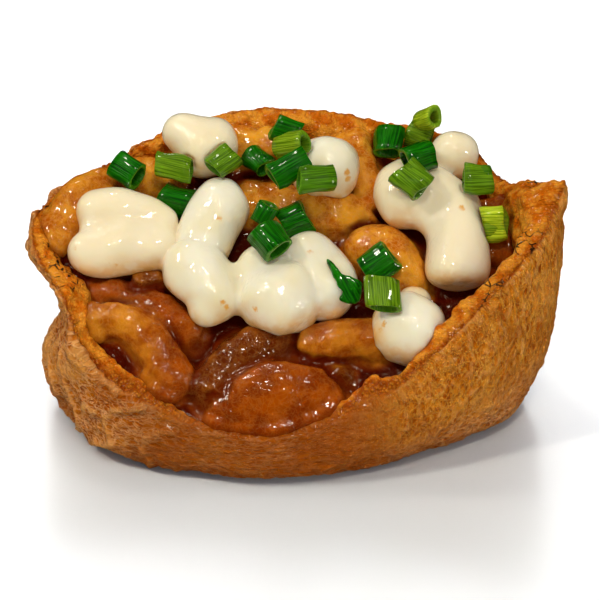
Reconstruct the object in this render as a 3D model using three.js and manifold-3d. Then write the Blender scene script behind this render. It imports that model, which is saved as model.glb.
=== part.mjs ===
// Inari sushi with a glazed filling: a fried tofu pouch that lies on its side like a scoop, low
// at the front and tall at the back, heaped with glazed chicken morsels in a thick sauce,
// piped strands of mayonnaise and cut scallion rings.
//
// Millimetres, +Z up. X runs along the pouch, -Y is its open, low side. The origin is on the
// flat spot that the pouch rests on, straight below the middle of the rim.

import * as THREE from "three";
import { mergeVertices } from "three/addons/utils/BufferGeometryUtils.js";
import Module from "manifold-3d";

const wasm = await Module();
wasm.setup();

// ---------------------------------------------------------------- driving dimensions

const GAP = 0.3; // free space kept between two pieces that touch

const MOUTH = { halfLength: 38, halfDepth: 22, squareness: 2.3 }; // the rim seen from above
const FOOT = { halfLength: 30, halfDepth: 16.5, backShift: -3 }; // the flat resting spot
const WALL = { thickness: 3, floor: 3 };
const INNER_SWELL = 6.8; // how far the hollow widens over its floor
const WAIST = { angle: 187, height: 15.6, lean: -0.55, depth: 6.4, tall: 4.4, wide: 36 }; // pinched left end
const FOLD_DEPTH = 0.55; // relief of the skin's folds
const LIP_CROWN = 0.1; // how far the lip stands up, as a share of its width
const CRUMB_DEPTH = 0.4; // relief of the torn, spongy lip

// The heap slopes down to the open side, so a piece is laid on it from there.
const HEAP = { height: 21.5, slope: 0.65, dome: 0.0008, ends: 0.0024, bank: 0.02, bankFrom: 8 };
const SERVED_FROM = new THREE.Vector3(0, -0.848, 0.53);
const UP_THE_HEAP = new THREE.Vector3(0, 0.53, 0.848);
const SAUCE_RIPPLE = 0.35;
const BED_DROP = 0.6; // the sauce's level under the heap's surface
const BED_GAP = 1.0; // free space between the sauce and the wall, which is faceted too

const POUCH_GRID = { around: 84, wallRows: 9 };
const BED_GRID = { around: 32, rows: 8 };

// One row for each place round the rim: angle in degrees (0 is the right end, 90 the back),
// reach as a share of the mouth's outline, height, width of the torn lip, and how far the
// lip's inner edge stands above its outer one.
const RIM = [
  [0, 0.992, 35.0, 6.4, -1.0],
  [11, 0.958, 32.8, 5.6, 0.3],
  [20, 0.948, 30.4, 3.6, 0.3],
  [31, 0.939, 29.7, 2.6, 0.4],
  [39, 0.951, 30.9, 2.3, 0.3],
  [46, 0.977, 32.8, 2.2, 0.2],
  [65, 0.944, 35.1, 3.0, -1.0],
  [80, 0.936, 36.4, 3.6, -1.5],
  [92, 0.945, 37.4, 3.6, -1.6],
  [104, 0.947, 36.6, 3.0, -1.2],
  [122, 0.949, 34.2, 2.2, -0.2],
  [132, 0.957, 31.9, 2.0, 0.2],
  [140, 0.976, 29.8, 2.0, 0.0],
  [151, 1.013, 28.7, 2.4, -0.4],
  [167, 1.039, 27.7, 3.0, -0.6],
  [182, 1.034, 26.9, 3.4, -0.6],
  [201, 1.002, 24.6, 3.8, -0.4],
  [211, 1.009, 22.2, 4.0, 0.2],
  [218, 1.035, 17.8, 3.4, 0.6],
  [225, 1.049, 15.0, 4.0, 1.2],
  [231, 1.067, 12.6, 4.6, 1.8],
  [238, 1.082, 11.6, 3.6, 1.6],
  [246, 1.09, 10.6, 2.2, 0.8],
  [254, 1.098, 8.2, 1.8, 0.4],
  [261, 1.105, 7.2, 1.5, 0.3],
  [268, 1.101, 7.4, 1.8, 0.3],
  [275, 1.072, 9.3, 2.4, 0.5],
  [278.5, 1.06, 10.8, 3.0, 1.4],
  [281.5, 1.05, 11.6, 4.2, 3.0],
  [285, 1.035, 12.4, 4.2, 2.4],
  [288.5, 1.02, 13.6, 3.0, 0.8],
  [298, 1.0, 18.4, 3.8, 0.6],
  [304, 0.985, 21.0, 4.8, 0.5],
  [311, 0.982, 23.8, 4.9, 0.5],
  [319, 0.987, 26.4, 3.9, 0.6],
  [328, 0.992, 29.5, 3.6, 0.5],
  [336, 1.008, 31.6, 4.4, 0.3],
  [344, 1.012, 33.0, 5.2, 0.2],
  [351, 1.004, 35.4, 6.0, -0.4],
  [355, 1.01, 36.4, 6.6, -1.8],
];

// The wall under each place of the rim: angle, how far the skin leans out just under the
// crest, how far the belly swells over the foot, and the foot's reach.
const SIDES = [
  [0, 0.9, 9.0, 1.0],
  [45, 1.2, 8.0, 1.0],
  [90, 1.6, 8.5, 1.0],
  [135, 1.6, 8.5, 1.0],
  [165, 0.5, 9.0, 1.02],
  [190, -1.0, 9.2, 1.03],
  [215, 0.0, 9.2, 1.04],
  [240, 1.4, 8.8, 1.03],
  [265, 1.6, 8.6, 1.03],
  [285, 1.6, 7.8, 0.97],
  [305, 1.5, 7.8, 0.91],
  [325, 1.3, 8.6, 0.93],
  [345, 1.2, 9.2, 0.97],
];

// Glazed chicken: a morsel follows a line of points, each [x, y, lift off the heap, radius].
// flat is its thickness as a share of its width, rough the height of its lumps.
const CHICKEN = [
  {
    // the bent strip at the left of the opening
    line: [
      [-28.9, -9.1, 1.6, 2.2], [-25.0, -8.2, 2.2, 2.5], [-21.2, -10.4, 2.4, 2.8],
      [-18.9, -13.3, 2.2, 3.0], [-17.7, -15.6, 1.8, 3.1],
    ],
    flat: 0.8,
    rough: 0.5,
  },
  { line: [[-22.5, -3.7, 1.6, 2.2], [-20.4, -3.2, 1.4, 2.2]], flat: 0.8, rough: 0.4 },
  { line: [[-27, -5.4, 0.3, 2.6], [-21.4, -6.5, 0.8, 3.0], [-16.7, -9.4, 0.9, 3.2]], flat: 0.8, rough: 0.5 },
  {
    // the broad slab at the front
    line: [[-9.8, -18.4, 0.4, 4.4], [-3.8, -17.5, 1.0, 5.5], [2.7, -17.3, 0.6, 4.8]],
    flat: 0.65,
    rough: 0.7,
  },
  {
    line: [[-12.2, -16.8, 1.4, 3.0], [-8.2, -12.4, 1.9, 3.3], [-2.1, -9.3, 1.0, 3.0]],
    flat: 0.8,
    rough: 0.6,
  },
  { line: [[2.8, -10.7, 2.2, 3.1], [7.1, -10.0, 2.4, 2.9], [11, -10.3, 2.0, 3.1]], flat: 0.85, rough: 0.6 },
  { line: [[1.2, -14, 0.6, 2.7], [5.3, -14.9, 0.6, 2.6]], flat: 0.8, rough: 0.4 },
  {
    // the middle of the heap
    line: [[10.9, 2.2, 2.0, 3.9], [14.1, 0.2, 2.0, 4.4], [15.8, -4.2, 0.8, 3.4]],
    flat: 0.8,
    rough: 0.6,
  },
  {
    line: [[-6.2, 8.5, 1.2, 3.6], [0.5, 7.6, 1.6, 3.5], [7.0, 7.2, 1.8, 3.4], [10.2, 6.0, 1.2, 2.0]],
    flat: 0.8,
    rough: 0.7,
  },
  { line: [[8.4, 15.2, 0.8, 3.0], [9.8, 11.7, 1.2, 3.0], [11.3, 8.4, 1.0, 2.2]], flat: 0.8, rough: 0.5 },
  { line: [[-8.9, 15.4, 0.6, 2.4], [-4.3, 15.8, 0.6, 2.4]], flat: 0.85, rough: 0.6 },
  {
    // the smooth glazed strip under the left end of the rim
    line: [[-34.4, 1.9, 0.8, 2.6], [-32.9, 6.4, 1.0, 3.5], [-28.8, 9.4, 0.8, 3.0]],
    flat: 0.75,
    rough: 0.25,
  },
  { line: [[-25.3, 10.8, 0.4, 3.3], [-20.5, 10.9, 0.4, 3.3]], flat: 0.8, rough: 0.45 },
  { line: [[28.6, 5.5, 0.6, 3.0], [29.2, 0.8, 0.6, 3.0]], flat: 0.75, rough: 0.3 },
];

// Mayonnaise: each helping is one or more piped strands that have run together. A helping
// that lies over another comes before it. A fifth number says how flat the last end is cut.
const MAYO_FLAT = 0.84;
const MAYO = [
  [[[-4.5, -0.8, 5.0, 4.2], [-2.3, -4.4, 5.2, 5.9]]],
  [[[-15.1, -1.0, 5.2, 4.5], [-11.4, -3.9, 5.0, 4.1], [-13.0, -6.4, 4.4, 2.4]]],
  [[[15.7, -8.9, 4.6, 5.0]], [[16.8, -5.3, 4.0, 1.9]]],
  [
    [[16.1, 10.5, 5.0, 4.4], [16.2, 8.8, 5.2, 4.9]],
    [[20, 9.4, 5.0, 3.8], [22.8, 7.3, 5.0, 4.2], [23.4, 2.4, 4.8, 4.4], [23.3, -2.1, 4.6, 4.5, 0.55]],
  ],
  [[[1.7, 0.6, 4.8, 4.3], [4.6, -3.0, 4.6, 4.5]]],
  [[[-11.2, 7.9, 5.4, 4.2], [-13.6, 2.9, 5.0, 3.8]]],
  [
    [[-28.9, 5.7, 4.6, 3.2], [-24.0, 6.0, 4.8, 3.4], [-20.2, 4.4, 4.6, 3.1, 0.3]],
    [[-30.0, 0.0, 4.2, 3.2], [-24.8, 1.2, 4.6, 3.5], [-19.8, 1.9, 4.4, 3.2, 0.3]],
  ],
  [[[3.8, 13.0, 4.6, 4.9]]],
  [[[-17.2, 16.7, 4.6, 2.9], [-13.4, 15.4, 4.6, 4.7]]],
  [[[22.9, 13.8, 3.8, 3.3]]],
];

// Scallion: [x, y, heading, tip, length, radius, how flat]. heading is the way the slice
// points, seen from the open side (0 right, 90 up the heap), and tip is how far that end
// lifts off the heap, both in degrees.
const SCALLION_WALL = 0.7;
const SCALLION = [
  [-25, 11.7, -32, 25, 4.5, 2.1, 0.85],
  [-18, 12.7, -12, 10, 5.6, 1.8, 0.75],
  [-17.9, 8.5, -18, 8, 4.5, 2.2, 0.7],
  [-10.7, 13.6, 217, 14, 4.0, 1.9, 0.8],
  [-5.8, 14, -45, 30, 3.9, 1.8, 0.85],
  [-1.5, 17.6, 160, 5, 3.9, 1.9, 0.8],
  [-0.7, 15.6, 8, 38, 5.0, 1.8, 0.9],
  [-1, 12.9, 30, -8, 6.0, 2.0, 0.85],
  [2.9, 11.3, 184, 12, 5.2, 1.9, 0.85],
  [-0.3, 6.2, 25, 6, 4.0, 2.4, 0.75],
  [-3.8, 3.3, -50, 22, 4.2, 2.3, 0.85],
  [-4.6, 6.9, 60, 10, 3.2, 1.5, 0.75],
  [11.9, 0, 35, 8, 4.5, 2.2, 0.8],
  [12.4, -4.1, -90, 20, 4.6, 2.3, 0.65],
  [13.9, 16.1, -100, 26, 4.2, 2.1, 0.85],
  [18.5, 16.6, -20, 12, 3.8, 1.9, 0.7],
  [19.4, 18.2, 10, 52, 3.6, 1.6, 0.9],
  [17.8, 13.7, 200, 22, 4.4, 2.1, 0.85],
  [16.7, 10.9, -42, 10, 4.5, 2.2, 0.75],
  [26.3, 10.5, 180, 12, 4.2, 2.1, 0.85],
  [28.8, 4.2, 5, 14, 3.4, 2.4, 0.75],
];

// A torn flat piece of scallion leaf: its outline across the heap, and how much it arches.
const TORN_LEAF = {
  at: [7.3, -3],
  thickness: 0.8,
  arch: 0.16,
  outline: [
    [-3.4, 4.8], [-1.9, 3.2], [-0.8, 2.1], [1.5, 1.5], [2.4, 0.3], [2.2, -1.3],
    [1.5, -2.8], [-1.0, -2.2], [-1.2, -1.5], [-0.6, -0.9], [-1.5, 0.6], [-2.4, 2.3],
  ],
};

// ---------------------------------------------------------------- small tools

const degrees = (a) => (a * Math.PI) / 180;
const lerp = THREE.MathUtils.lerp;
const bump = (x, width) => Math.exp(-((x / width) ** 2));
const angleBetween = (a, b) => ((a - b + 540) % 360) - 180;

// Even, repeatable lumps: three crossed waves with the given wavelength, from -1 to 1.
function lumps(p, wavelength, seed = 0) {
  const k = (2 * Math.PI) / wavelength;
  return (
    (Math.sin(k * (p.x + 0.4 * p.y) + seed) * Math.sin(k * (p.y - 0.3 * p.z) + 2.1 * seed) +
      Math.sin(1.9 * k * (p.z + 0.5 * p.x) + 3.7 * seed) * Math.sin(1.7 * k * p.y - seed)) / 2
  );
}

// A closed body: the grid of a sphere, with every vertex moved to place(share round, row).
function bodyOf(around, rows, place) {
  const geometry = new THREE.SphereGeometry(1, around, rows);
  const { position, uv } = geometry.attributes;
  for (let i = 0; i < position.count; i++) {
    const row = Math.round((1 - uv.getY(i)) * rows);
    const atPole = row === 0 || row === rows;
    const column = atPole ? 0 : Math.round(uv.getX(i) * around) % around;
    const p = place(column / around, row);
    position.setXYZ(i, p.x, p.y, p.z);
  }
  return solidFrom(geometry);
}

// A closed three.js geometry as a solid whose faces point out.
function solidFrom(geometry) {
  geometry.deleteAttribute("normal");
  geometry.deleteAttribute("uv");
  const merged = mergeVertices(geometry, 1e-4);
  const vertProperties = merged.attributes.position.array;
  const triVerts = new Uint32Array(merged.index.array);
  const build = () => new wasm.Manifold(new wasm.Mesh({ numProp: 3, vertProperties, triVerts }));
  let solid = build();
  if (solid.volume() < 0) {
    for (let i = 0; i < triVerts.length; i += 3) {
      [triVerts[i + 1], triVerts[i + 2]] = [triVerts[i + 2], triVerts[i + 1]];
    }
    solid = build();
  }
  return solid;
}

const boxesMeet = (a, b) => {
  const [p, q] = [a.boundingBox(), b.boundingBox()];
  return [0, 1, 2].every((k) => p.min[k] < q.max[k] && q.min[k] < p.max[k]);
};

// What is left of a solid outside its neighbours, without any scrap that comes loose.
function cutBy(solid, neighbours) {
  let left = solid;
  for (const other of neighbours) {
    if (boxesMeet(left, other)) left = left.subtract(other);
  }
  return left.decompose().sort((a, b) => b.volume() - a.volume())[0];
}

// ---------------------------------------------------------------- the heap's surface

const heapHeight = (x, y) =>
  HEAP.height + HEAP.slope * y - HEAP.dome * y * y +
  HEAP.ends * x * x + HEAP.bank * Math.max(0, y - HEAP.bankFrom) ** 2;

// The point that lies lift above the heap over (x, y), towards the open side.
const onHeap = (x, y, lift) =>
  new THREE.Vector3(x, y, heapHeight(x, y)).addScaledVector(SERVED_FROM, lift);

// ---------------------------------------------------------------- pouch

// A column of a table at an angle, on a smooth closed curve through the table's rows.
function tableValue(table, angle, column) {
  const n = table.length;
  const a = ((angle % 360) + 360) % 360;
  const i = table.findLastIndex((row) => row[0] <= a);
  const value = (k) => table[((k % n) + n) % n][column];
  const turn = (k) => table[((k % n) + n) % n][0] + 360 * Math.floor(k / n);
  const [x0, x1, x2, x3] = [turn(i - 1), turn(i), turn(i + 1), turn(i + 2)];
  const [y0, y1, y2, y3] = [value(i - 1), value(i), value(i + 1), value(i + 2)];
  const t = (a - x1) / (x2 - x1);
  const m1 = ((y2 - y0) / (x2 - x0)) * (x2 - x1);
  const m2 = ((y3 - y1) / (x3 - x1)) * (x2 - x1);
  const rise = t * t * (3 - 2 * t);
  return lerp(y1, y2, rise) + t * (1 - t) * ((1 - t) * m1 - t * m2);
}

const RIM_COLUMNS = { reach: 1, height: 2, lip: 3, rise: 4 };
const rimValue = (angle, column) => tableValue(RIM, angle, RIM_COLUMNS[column]);

// A point of a rounded rectangle seen from above.
function outline(angle, { halfLength, halfDepth, backShift = 0 }, z) {
  const power = 2 / MOUTH.squareness;
  const [c, s] = [Math.cos(degrees(angle)), Math.sin(degrees(angle))];
  return new THREE.Vector3(
    halfLength * Math.sign(c) * Math.abs(c) ** power,
    halfDepth * Math.sign(s) * Math.abs(s) ** power + backShift,
    z,
  );
}

// The way out of the pouch at an angle, level.
function outward(angle) {
  const [c, s] = [Math.cos(degrees(angle)), Math.sin(degrees(angle))];
  return new THREE.Vector3(c / MOUTH.halfLength, s / MOUTH.halfDepth, 0).normalize();
}

// The sharp outer edge of the rim, where the skin ends.
function crest(angle) {
  const p = outline(angle, MOUTH, rimValue(angle, "height"));
  const reach = rimValue(angle, "reach");
  p.x *= reach;
  p.y *= reach;
  return p;
}

// The lip's inner edge, where the crumb meets the filling.
function lipEdge(angle) {
  return crest(angle)
    .addScaledVector(outward(angle), -rimValue(angle, "lip"))
    .add(new THREE.Vector3(0, 0, rimValue(angle, "rise")));
}

const bezier = (t, a, b, c, d) => {
  const s = 1 - t;
  return new THREE.Vector3()
    .addScaledVector(a, s * s * s)
    .addScaledVector(b, 3 * s * s * t)
    .addScaledVector(c, 3 * s * t * t)
    .addScaledVector(d, t * t * t);
};

// Folds of the skin: long, uneven waves that lean with the wall, deeper towards the left end.
function skinFolds(angle, t) {
  const leftEnd = bump(angleBetween(angle, 215), 45);
  const lean = angle + 34 * t;
  const long = Math.sin(degrees(7 * lean)) * Math.sin(degrees(300 * t + 2 * angle));
  const short = Math.sin(degrees(19 * lean + 90)) * Math.cos(degrees(200 * t - 5 * angle));
  return (long + 0.6 * short) * (0.6 + 0.9 * leftEnd) * Math.sin(Math.PI * t);
}

// How far the pinch at the left end draws the wall in at a point of it.
function pinch(angle, p) {
  const height = WAIST.height + WAIST.lean * p.y;
  return WAIST.depth * bump(p.z - height, WAIST.tall) * bump(angleBetween(angle, WAIST.angle), WAIST.wide);
}

// The outside of the wall, from the crest at t 0 down to the foot at t 1.
function outerWall(angle, t) {
  const [lean, swell, reach] = [1, 2, 3].map((column) => tableValue(SIDES, angle, column));
  const [top, foot, out] = [crest(angle), outline(angle, FOOT, 0), outward(angle)];
  foot.x *= reach;
  foot.y = FOOT.backShift + (foot.y - FOOT.backShift) * reach;
  const upper = top.clone().addScaledVector(out, lean);
  upper.z *= 0.62;
  const lower = foot.clone().addScaledVector(out, swell);
  const p = bezier(t, top, upper, lower, foot);
  return p.addScaledVector(out, FOLD_DEPTH * skinFolds(angle, t) - pinch(angle, p) * Math.min(1, 12 * t));
}

// The inside of the wall, from the lip's inner edge at t 0 down to the floor at t 1.
function innerWall(angle, t, grow) {
  const [top, out] = [lipEdge(angle), outward(angle)];
  const floor = outline(angle, FOOT, WALL.floor + grow).addScaledVector(out, -2 * WALL.thickness);
  const upper = top.clone();
  upper.z = lerp(WALL.floor, top.z, 0.55);
  const lower = floor.clone().addScaledVector(out, INNER_SWELL);
  const p = bezier(t, top, upper, lower, floor);
  return p.addScaledVector(out, -grow - 0.8 * pinch(angle, p));
}

// The pouch as one skin: floor, inner wall, torn lip, outer wall, foot. grow thickens the
// side that the filling touches.
function makePouch(grow) {
  const innerSteps = [1, 0.72, 0.42, 0.16];
  const rows = innerSteps.length + 4 + POUCH_GRID.wallRows + 1;
  const lipStart = innerSteps.length + 1;
  return bodyOf(POUCH_GRID.around, rows, (share, row) => {
    const angle = 360 * share;
    if (row === 0) return new THREE.Vector3(0, FOOT.backShift, WALL.floor + grow);
    if (row === rows) return new THREE.Vector3(0, FOOT.backShift, 0);
    if (row < lipStart) return innerWall(angle, innerSteps[row - 1], grow);
    const [inner, outer] = [lipEdge(angle), crest(angle)];
    const across = (row - lipStart) / 3;
    if (across <= 1) {
      const p = inner.lerp(outer, across);
      const crown = Math.sin(Math.PI * Math.min(across, 1)) * rimValue(angle, "lip") * LIP_CROWN;
      const crumb = lumps(p, 3.1, row) * CRUMB_DEPTH * (across < 1 ? 1 : 0.4);
      p.z += crown + crumb + (across < 1 ? grow : 0);
      return p.addScaledVector(outward(angle), across === 0 ? -grow : 0);
    }
    return outerWall(angle, (row - lipStart - 3) / POUCH_GRID.wallRows);
  });
}

// ---------------------------------------------------------------- filling

// The sauce that the morsels lie in. It fills the pouch up to the heap's surface and ends
// just short of the wall. grow raises its surface.
function makeBed(grow) {
  const { around, rows } = BED_GRID;
  const edgeRow = rows / 2;
  const shore = (angle) => {
    let t = 0.06;
    while (t < 1) {
      const p = innerWall(angle, t, BED_GAP);
      if (p.z < heapHeight(p.x, p.y) - BED_DROP) break;
      t += 0.02;
    }
    return t;
  };
  return bodyOf(around, rows, (share, row) => {
    const angle = 360 * share;
    const start = shore(angle);
    const under = new THREE.Vector3(0, FOOT.backShift, WALL.floor + BED_GAP);
    if (row === rows) return under;
    if (row > edgeRow) {
      const down = (row - edgeRow) / (rows - edgeRow - 1);
      return innerWall(angle, lerp(start, 0.94, down), BED_GAP - grow);
    }
    const p = new THREE.Vector3(0, -1, 0).lerp(innerWall(angle, start, BED_GAP - grow), row / edgeRow);
    if (row < edgeRow) p.z = heapHeight(p.x, p.y) - BED_DROP + SAUCE_RIPPLE * lumps(p, 9, 4);
    p.z += grow;
    return p;
  });
}

// A soft body swept along a line of [x, y, lift, radius], round at both ends unless the last
// is blunt, and flattened against the heap. grow fattens it all over.
function sweptBody(line, { flat, rough, seed, around, capRows, midRows }, grow) {
  const points = line.map(([x, y, lift]) => onHeap(x, y, lift));
  const radii = line.map((stop) => stop[3]);
  const blunt = line.at(-1)[4] ?? 0;
  const single = points.length === 1;
  if (single) points.push(points[0].clone().add(new THREE.Vector3(0.8, 0, 0)));
  if (single) radii.push(radii[0]);
  const curve = new THREE.CatmullRomCurve3(points);
  const rows = 2 * capRows + midRows;
  const radiusAt = (t) => {
    const s = t * (radii.length - 1);
    const i = Math.min(Math.floor(s), radii.length - 2);
    return lerp(radii[i], radii[i + 1], THREE.MathUtils.smoothstep(s - i, 0, 1));
  };
  return bodyOf(around, rows, (share, row) => {
    let [t, axial, round] = [0, 0, 1];
    if (row < capRows) {
      const a = (row / capRows) * (Math.PI / 2);
      [axial, round] = [-Math.cos(a), Math.sin(a)];
    } else if (row > rows - capRows) {
      const a = ((rows - row) / capRows) * (Math.PI / 2);
      [t, axial, round] = [1, Math.cos(a) * (1 - blunt), Math.sin(a) ** (1 - 0.6 * blunt)];
    } else {
      t = (row - capRows) / midRows;
    }
    const radius = radiusAt(t);
    const along = curve.getTangent(t);
    const side = new THREE.Vector3().crossVectors(along, SERVED_FROM).normalize();
    const up = new THREE.Vector3().crossVectors(side, along).normalize();
    const turn = 2 * Math.PI * share;
    const reach = (radius + grow) * round;
    const p = curve
      .getPoint(t)
      .addScaledVector(along, (radius + grow) * axial * 0.92)
      .addScaledVector(side, reach * Math.cos(turn))
      .addScaledVector(up, (radius * flat + grow) * round * Math.sin(turn));
    const swell = rough * lumps(p, 6.5, seed) * (0.3 + 0.7 * round);
    return p.addScaledVector(side, swell * Math.cos(turn)).addScaledVector(up, swell * Math.sin(turn));
  });
}

const chickenGrid = { around: 10, capRows: 3, midRows: 4 };
const mayoGrid = { around: 12, capRows: 3, midRows: 3 };

const makeChicken = ({ line, flat, rough }, seed, grow) =>
  sweptBody(line, { flat, rough, seed, ...chickenGrid }, grow);

function makeMayo(strands, seed, grow) {
  return strands
    .map((line) => sweptBody(line, { flat: MAYO_FLAT, rough: 0.12, seed, ...mayoGrid }, grow))
    .reduce((a, b) => a.add(b));
}

// ---------------------------------------------------------------- scallion

// A slice of a hollow leaf: a short tube, squeezed flat by its share, cut a little askew.
function makeScallion([, , heading, tip, length, radius, squeeze], seed) {
  const inner = radius - SCALLION_WALL;
  const half = length / 2;
  const profile = [[inner, -half], [radius, -half], [radius, half], [inner, half], [inner, -half]];
  const geometry = new THREE.LatheGeometry(profile.map(([r, h]) => new THREE.Vector2(r, h)), 12);
  const { position } = geometry.attributes;
  const [h, t] = [degrees(heading), degrees(tip)];
  const axis = new THREE.Vector3(1, 0, 0)
    .multiplyScalar(Math.cos(h) * Math.cos(t))
    .addScaledVector(UP_THE_HEAP, Math.sin(h) * Math.cos(t))
    .addScaledVector(SERVED_FROM, Math.sin(t));
  const wide = new THREE.Vector3().crossVectors(axis, SERVED_FROM).normalize();
  const thin = new THREE.Vector3().crossVectors(wide, axis).normalize();
  for (let i = 0; i < position.count; i++) {
    const [x, y, z] = [position.getX(i), position.getY(i), position.getZ(i)];
    const dent = 1 + 0.07 * Math.sin(3 * Math.atan2(z, x) + seed);
    const askew = 0.12 * x * Math.sin(seed * 2.3);
    const p = new THREE.Vector3()
      .addScaledVector(axis, y + askew)
      .addScaledVector(wide, x * dent * (1.4 - 0.4 * squeeze))
      .addScaledVector(thin, z * dent * squeeze);
    position.setXYZ(i, p.x, p.y, p.z);
  }
  return solidFrom(geometry);
}

// The torn leaf, arched over what it lies on.
function makeTornLeaf({ outline: edge, thickness, arch }) {
  const shape = new THREE.Shape(edge.map(([x, y]) => new THREE.Vector2(x, y)));
  const geometry = new THREE.ExtrudeGeometry(shape, { depth: thickness, bevelEnabled: false });
  const { position } = geometry.attributes;
  for (let i = 0; i < position.count; i++) {
    const [x, y, z] = [position.getX(i), position.getY(i), position.getZ(i)];
    const p = new THREE.Vector3(x, 0, 0)
      .addScaledVector(UP_THE_HEAP, y)
      .addScaledVector(SERVED_FROM, z - arch * x * x);
    position.setXYZ(i, p.x, p.y, p.z);
  }
  return solidFrom(geometry);
}

// Lays a piece on the heap at (x, y) and draws it back to where it is just free of the rest.
function settle(solid, x, y, below) {
  const step = 0.15;
  for (let lift = 1; lift < 20; lift += step) {
    const p = onHeap(x, y, lift);
    const placed = solid.translate([p.x, p.y, p.z]);
    const free = below.every((other) => !boxesMeet(placed, other) || placed.intersect(other).volume() < 1e-3);
    if (free) return placed;
  }
  throw new Error("a piece found no free place");
}

// ---------------------------------------------------------------- the whole

const COLOURS = {
  skin: { color: 0xb8763a, roughness: 0.6 },
  sauce: { color: 0x7a2e08, roughness: 0.15 },
  chicken: { color: 0xb5651d, roughness: 0.25 },
  mayo: { color: 0xf2e6c8, roughness: 0.2 },
  scallion: { color: 0x2f7d1e, roughness: 0.3 },
};

const object = new THREE.Group();

function add(name, solid, look) {
  const { vertProperties, triVerts } = solid.getMesh();
  const geometry = new THREE.BufferGeometry()
    .setAttribute("position", new THREE.BufferAttribute(vertProperties, 3))
    .setIndex(new THREE.BufferAttribute(triVerts, 1));
  geometry.computeVertexNormals();
  const mesh = new THREE.Mesh(geometry, new THREE.MeshStandardMaterial({ ...COLOURS[look], metalness: 0 }));
  mesh.name = name;
  object.add(mesh);
}

const numbered = (name, i) => `${name}_${String(i + 1).padStart(2, "0")}`;

const pouch = makePouch(0);
const pouchRoom = makePouch(GAP);
add("pouch", pouch, "skin");

const bed = cutBy(makeBed(0), [pouchRoom]);
const bedRoom = makeBed(GAP);
add("filling_bed", bed, "sauce");

// Each morsel keeps clear of the pouch, the bed and the morsels laid before it.
const chicken = [];
const chickenRooms = [];
CHICKEN.forEach((morsel, i) => {
  const solid = cutBy(makeChicken(morsel, i, 0), [pouchRoom, bedRoom, ...chickenRooms]);
  chicken.push(solid);
  chickenRooms.push(makeChicken(morsel, i, GAP));
  add(numbered("chicken", i), solid, "chicken");
});

const mayo = [];
const mayoRooms = [];
MAYO.forEach((strands, i) => {
  const solid = cutBy(makeMayo(strands, i, 0), [pouchRoom, bedRoom, ...chickenRooms, ...mayoRooms]);
  mayo.push(solid);
  mayoRooms.push(makeMayo(strands, i, GAP));
  add(numbered("mayo", i), solid, "mayo");
});

const laid = [pouch, bed, ...chicken, ...mayo];
SCALLION.forEach((slice, i) => {
  const solid = settle(makeScallion(slice, i), slice[0], slice[1], laid);
  laid.push(solid);
  add(numbered("scallion", i), solid, "scallion");
});
const leaf = settle(makeTornLeaf(TORN_LEAF), ...TORN_LEAF.at, laid);
add(numbered("scallion", SCALLION.length), leaf, "scallion");

export default object;
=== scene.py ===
# %% [markdown]
# # A filled inari sushi, dressed for its close-up
#
# The real thing is a pouch of simmered fried tofu, opened wide and filled with glazed chicken.
# Knobs of mayonnaise and cut scallion lie on top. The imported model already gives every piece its
# place and its main form, in metres, so this lesson only refines copies of those pieces: it
# rounds them, wrinkles them, wets them and gives each surface its finish.

# %% Load the frame
import math

import bpy
import numpy as np
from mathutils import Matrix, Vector
from mathutils import noise as perlin
from mathutils.bvhtree import BVHTree


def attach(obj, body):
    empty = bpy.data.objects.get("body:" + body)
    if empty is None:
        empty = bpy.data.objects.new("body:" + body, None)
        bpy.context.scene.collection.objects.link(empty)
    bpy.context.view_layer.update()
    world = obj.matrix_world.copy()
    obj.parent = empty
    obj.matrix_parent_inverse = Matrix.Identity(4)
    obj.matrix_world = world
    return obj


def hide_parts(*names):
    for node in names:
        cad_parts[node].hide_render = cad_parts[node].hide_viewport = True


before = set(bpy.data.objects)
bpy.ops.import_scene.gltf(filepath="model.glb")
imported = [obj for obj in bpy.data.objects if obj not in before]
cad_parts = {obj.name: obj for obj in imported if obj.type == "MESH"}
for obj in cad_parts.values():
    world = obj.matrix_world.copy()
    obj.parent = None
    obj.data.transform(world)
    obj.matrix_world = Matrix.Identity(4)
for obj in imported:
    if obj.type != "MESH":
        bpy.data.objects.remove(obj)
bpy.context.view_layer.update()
MM = 0.001

# %% [markdown]
# ## Camera
#
# Food this small is shot with a long lens from about a forearm away, looking down at a third of a
# right angle, so that the heap shows and the front of the pouch still reads as a wall.

# %% Add the camera
CAMERA_TILT = math.radians(32)
CAMERA_DISTANCE = 335.8 * MM
CAMERA_LENS = 135
AIM = Vector((0.5, 0, 15.6)) * MM

toward_camera = Vector((0, -math.cos(CAMERA_TILT), math.sin(CAMERA_TILT)))
bpy.ops.object.camera_add(
    location=AIM + CAMERA_DISTANCE * toward_camera,
    rotation=(math.pi / 2 - CAMERA_TILT, 0, 0),
)
camera = bpy.context.object
camera.name = "camera"
camera.data.lens = CAMERA_LENS
camera.data.clip_start = 0.01
bpy.context.scene.camera = camera
print("camera at", [round(c / MM, 1) for c in camera.location])

# %% [markdown]
# ## Light
#
# A white tent: the world gives soft light from all round, and two wide panels, one above and one
# in front, add to it. All three are slightly cool and hidden from glossy rays, as a maker of food
# pictures shades them off, so that wet surfaces keep their deep colour. Four small warm keys, at
# the left, front, right and back, give the form its light and shade. They alone show as the small
# bright glints on the sauce and the mayonnaise. Later a last panel lights the floor alone.

# %% A helper that hangs a light panel and turns it to the food
def light_panel(name, place, size, power):
    bpy.ops.object.light_add(type="AREA", location=place)
    panel = bpy.context.object
    panel.name = name
    panel.data.shape = "RECTANGLE"
    panel.data.size, panel.data.size_y = size
    panel.data.energy = power
    panel.rotation_euler = (AIM - Vector(place)).to_track_quat("-Z", "Y").to_euler()
    return panel


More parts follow.
